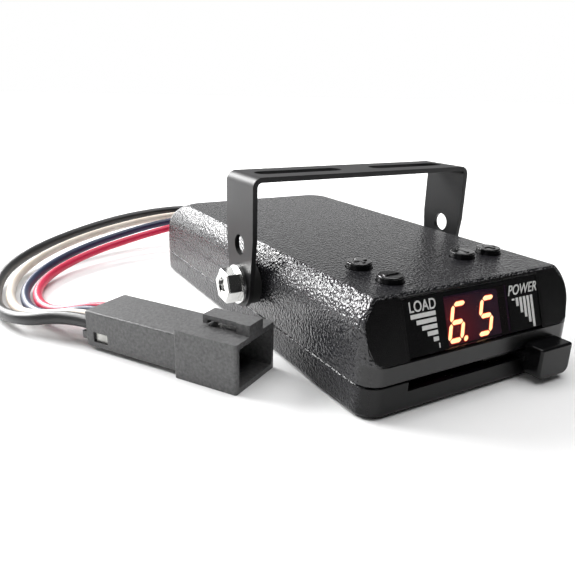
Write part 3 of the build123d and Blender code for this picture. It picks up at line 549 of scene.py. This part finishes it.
def print_word(word, name, x, y, tall, wide, slant):
    """A word in plain capitals, tall mm high and wide mm long, with its foot at x, y."""
    bpy.ops.object.select_all(action="DESELECT")
    bpy.ops.object.text_add()
    text = bpy.context.object
    text.data.body = word
    text.data.shear = slant
    text.data.offset = LETTER_WEIGHT
    bpy.ops.object.convert(target="MESH")
    word_mesh = bpy.context.object
    across = [v.co.x for v in word_mesh.data.vertices]
    upward = [v.co.y for v in word_mesh.data.vertices]
    fit = Matrix.Diagonal((wide / (max(across) - min(across)), tall / (max(upward) - min(upward)), 1, 1))
    to_corner = Matrix.Translation((-min(across), -min(upward), 0))
    word_mesh.matrix_world = Matrix.Translation((x, y, INK_HIGH)) @ fit @ to_corner
    bpy.ops.object.transform_apply(location=True, rotation=True, scale=True)
    thick = word_mesh.modifiers.new("ink", "SOLIDIFY")
    thick.thickness = INK_HIGH - INK_LOW
    thick.offset = -1
    bpy.ops.object.modifier_apply(modifier=thick.name)
    set_in_panel([word_mesh], name, screen_ink)


print_word("LOAD", "left_word", x=-23.3, y=12.0, tall=2.9, wide=9.0, slant=0.0)
print_word("POWER", "right_word", x=12.9, y=11.1, tall=2.9, wide=12.3, slant=0.35)

# Display filter: a pane of lightly red tinted acrylic, polished on both faces, which closes the
# label window's cut-out in front of the display.
red_pane, tree, shader = start_material(
    "red_tinted_acrylic", IOR=1.49, Roughness=0.02, Transmission_Weight=1.0,
)
place = add(tree, "TexCoord")
cloud = add(tree, "TexNoise", {"Vector": (place, "Object"), "Scale": 0.06 / MM})
tone = add(tree, "Mix", {0: (cloud, "Fac"), 6: linear("#f2cfcf"), 7: linear("#eccace")}, data_type="RGBA")
feed(shader, Base_Color=(tone, 2))
paint("display_filter", red_pane)

# LED display: a potted block in the key board's cut-out, behind the filter. Its dark face glows
# red round the first digit and fades to a deep violet away from it.
display_face, tree, shader = start_material("display_block_face", Roughness=0.5, Emission_Strength=0.9)
place = add(tree, "TexCoord")
centre = add(tree, "Mapping", {"Vector": (place, "Object"), "Location": (0.0065, 0.0720, -0.0190)})
spread = add(tree, "VectorMath", {0: (centre, "Vector")}, operation="LENGTH")
glow = add(
    tree, "MapRange",
    {"Value": (spread, "Value"), "From Min": 0.001, "From Max": 0.013, "To Min": 1.0, "To Max": 0.0},
    interpolation_type="SMOOTHSTEP",
)
speck = add(tree, "TexNoise", {"Vector": (place, "Object"), "Scale": 0.9 / MM, "Detail": 3.0})
base = add(tree, "Mix", {0: (speck, "Fac"), 6: linear("#1a0c10"), 7: linear("#241018")}, data_type="RGBA")
light = add(tree, "Mix", {0: (glow, "Result"), 6: linear("#160c22"), 7: linear("#520a1a")}, data_type="RGBA")
feed(shader, Base_Color=(base, 2), Emission_Color=(light, 2))
paint("led_display", display_face)

# Lit bars: clear diffusers let into the display's face, which light up cream with amber patches.
# They make the reading 6.5 in sloping digits, and their ends are pointed with a gap at each joint.
lit_diffuser, tree, shader = start_material("lit_segment_diffuser", Roughness=0.4, Emission_Strength=2.6)
place = add(tree, "TexCoord")
patch = add(tree, "TexNoise", {"Vector": (place, "Object"), "Scale": 0.42 / MM, "Detail": 2.0})
tone = add(tree, "Mix", {0: (patch, "Fac"), 6: linear("#ffd27a"), 7: linear("#fff2c0")}, data_type="RGBA")
feed(shader, Base_Color=(tone, 2), Emission_Color=(tone, 2))

# In mm: a digit's outline, its slope per mm of height, its bars' width and the gap at their ends,
# its foot over the panel's foot, the depths between which the bars stand in the display, where
# the digits and the point stand, and the point's height over the digits' foot and its rim.
DIGIT_TALL, DIGIT_WIDE, DIGIT_SLANT = 10.9, 5.7, 0.31
STROKE, GAP = 1.2, 0.27
DIGIT_FOOT = 1.4
FACE_LOW, FACE_HIGH = -2.65, -2.5
SIX_X, FIVE_X, POINT_X = -10.7, 0.3, -4.0
POINT_UP, POINT_RIM = 0.55, 0.04


def digit(x, lit, wide, high):
    """The lit bars of one upright digit whose left foot is at x, by the usual letters a to g."""
    low, top = DIGIT_FOOT + STROKE / 2, DIGIT_FOOT + DIGIT_TALL - STROKE / 2
    mid = DIGIT_FOOT + DIGIT_TALL / 2
    left, right = x + STROKE / 2, x + DIGIT_WIDE - STROKE / 2
    ends = {
        "a": ((left, top), (right, top)), "c": ((right, mid), (right, low)),
        "d": ((left, low), (right, low)), "e": ((left, low), (left, mid)),
        "f": ((left, mid), (left, top)), "g": ((left, mid), (right, mid)),
    }
    bars = []
    for name in lit:
        start, end = map(Vector, ends[name])
        gap = (end - start).normalized() * GAP
        bars.append(strip(start + gap, end - gap, wide, FACE_LOW, high, point=0.48))
    return bars


def decimal_point(radius, high):
    """The round point at the foot of the first digit."""
    bpy.ops.object.select_all(action="DESELECT")
    bpy.ops.mesh.primitive_cylinder_add(
        vertices=20, radius=radius, depth=high - FACE_LOW,
        location=(POINT_X, DIGIT_FOOT + POINT_UP, (FACE_LOW + high) / 2),
    )
    piece = bpy.context.object
    bpy.ops.object.transform_apply(location=True, rotation=True, scale=True)
    pick(piece, lambda a, b: min(a.z, b.z) > (FACE_LOW + high) / 2)
    bpy.ops.mesh.bevel(offset=POINT_RIM, segments=1, affect="EDGES")
    bpy.ops.object.mode_set(mode="OBJECT")
    return piece


def reading(wide, point_radius, high):
    """The display's reading: a six, its point and a five, with bars that wide."""
    six_and_five = digit(SIX_X, "acdefg", wide, high) + digit(FIVE_X, "acdfg", wide, high)
    return six_and_five + [decimal_point(point_radius, high)]


lit_bars = reading(STROKE, 0.7, FACE_HIGH)
set_in_panel(lit_bars, "lit_segments", lit_diffuser, DIGIT_SLANT)

# Bloom: the resin of the display's face glows deep orange round each bar, where the bar's light
# leaks sideways. It is the same reading with wider bars, sunk a little below the lit ones.
amber_bloom, tree, shader = start_material("amber_diffuser_bloom", Roughness=0.5, Emission_Strength=0.9)
place = add(tree, "TexCoord")
patch = add(tree, "TexNoise", {"Vector": (place, "Object"), "Scale": 0.6 / MM, "Detail": 2.0})
tone = add(tree, "Mix", {0: (patch, "Fac"), 6: linear("#c02c14"), 7: linear("#e8541c")}, data_type="RGBA")
feed(shader, Base_Color=(tone, 2), Emission_Color=(tone, 2))
BLOOM_SPREAD, BLOOM_SINK = 0.42, 0.06
bloom_bars = reading(STROKE + BLOOM_SPREAD, 0.9, FACE_HIGH - BLOOM_SINK)
set_in_panel(bloom_bars, "segment_bloom", amber_bloom, DIGIT_SLANT)

# Push buttons: gloss black ABS caps with a rounded rim and a raised minus or plus, which press
# down through the upper case onto the switches.
gloss_abs = moulded_plastic(
    "gloss_black_abs", "#060607", "#0a0a0b", 0.12, 0.5, 0.003, Coat_Weight=0.4, Coat_Roughness=0.05,
)
for button in ("left_minus", "left_plus", "right_minus", "right_plus"):
    finish_piece(button + "_button", 0.12, gloss_abs, body=button)

# Bracket: a pierced strap of mild steel folded to a U, under a fine-textured black powder coat.
# Its legs turn on the two side bolts, and two long slots along its top take the mounting screws.
powder_coat = moulded_plastic("black_powder_coat", "#0a0a0b", "#121214", 0.45, 0.3, 0.012, ior=1.4)
finish_piece("bracket", 0.28, powder_coat, body="bracket")

# Side bolts: flanged steel hexagon bolts with a dished head, bright zinc plated, on which the
# bracket turns. The plating's bloom gives them soft brighter and duller patches.
bright_zinc, tree, shader = start_material("bright_zinc_plate", Metallic=1.0)
place = add(tree, "TexCoord")
bloom = add(tree, "TexNoise", {"Vector": (place, "Object"), "Scale": 0.35 / MM, "Detail": 4.0})
tone = add(tree, "Mix", {0: (bloom, "Fac"), 6: linear("#b4b4b2"), 7: linear("#e6e6e4")}, data_type="RGBA")
rub = add(tree, "MapRange", {"Value": (bloom, "Fac"), "To Min": 0.08, "To Max": 0.22})
feed(shader, Base_Color=(tone, 2), Roughness=(rub, "Result"))
for name in ("left_bolt", "right_bolt"):
    finish_piece(name, 0.15, bright_zinc)

# Washers and grommet: matt black rubber with a dusty bloom. The washers space the bracket off the
# case, and the grommet closes the wires' hole in the back.
rubber = moulded_plastic("matt_black_rubber", "#141414", "#1d1d1d", 0.62, 0.25, 0.01)
paint("spacer_washers", rubber)
finish_piece("wire_grommet", 0.2, rubber)
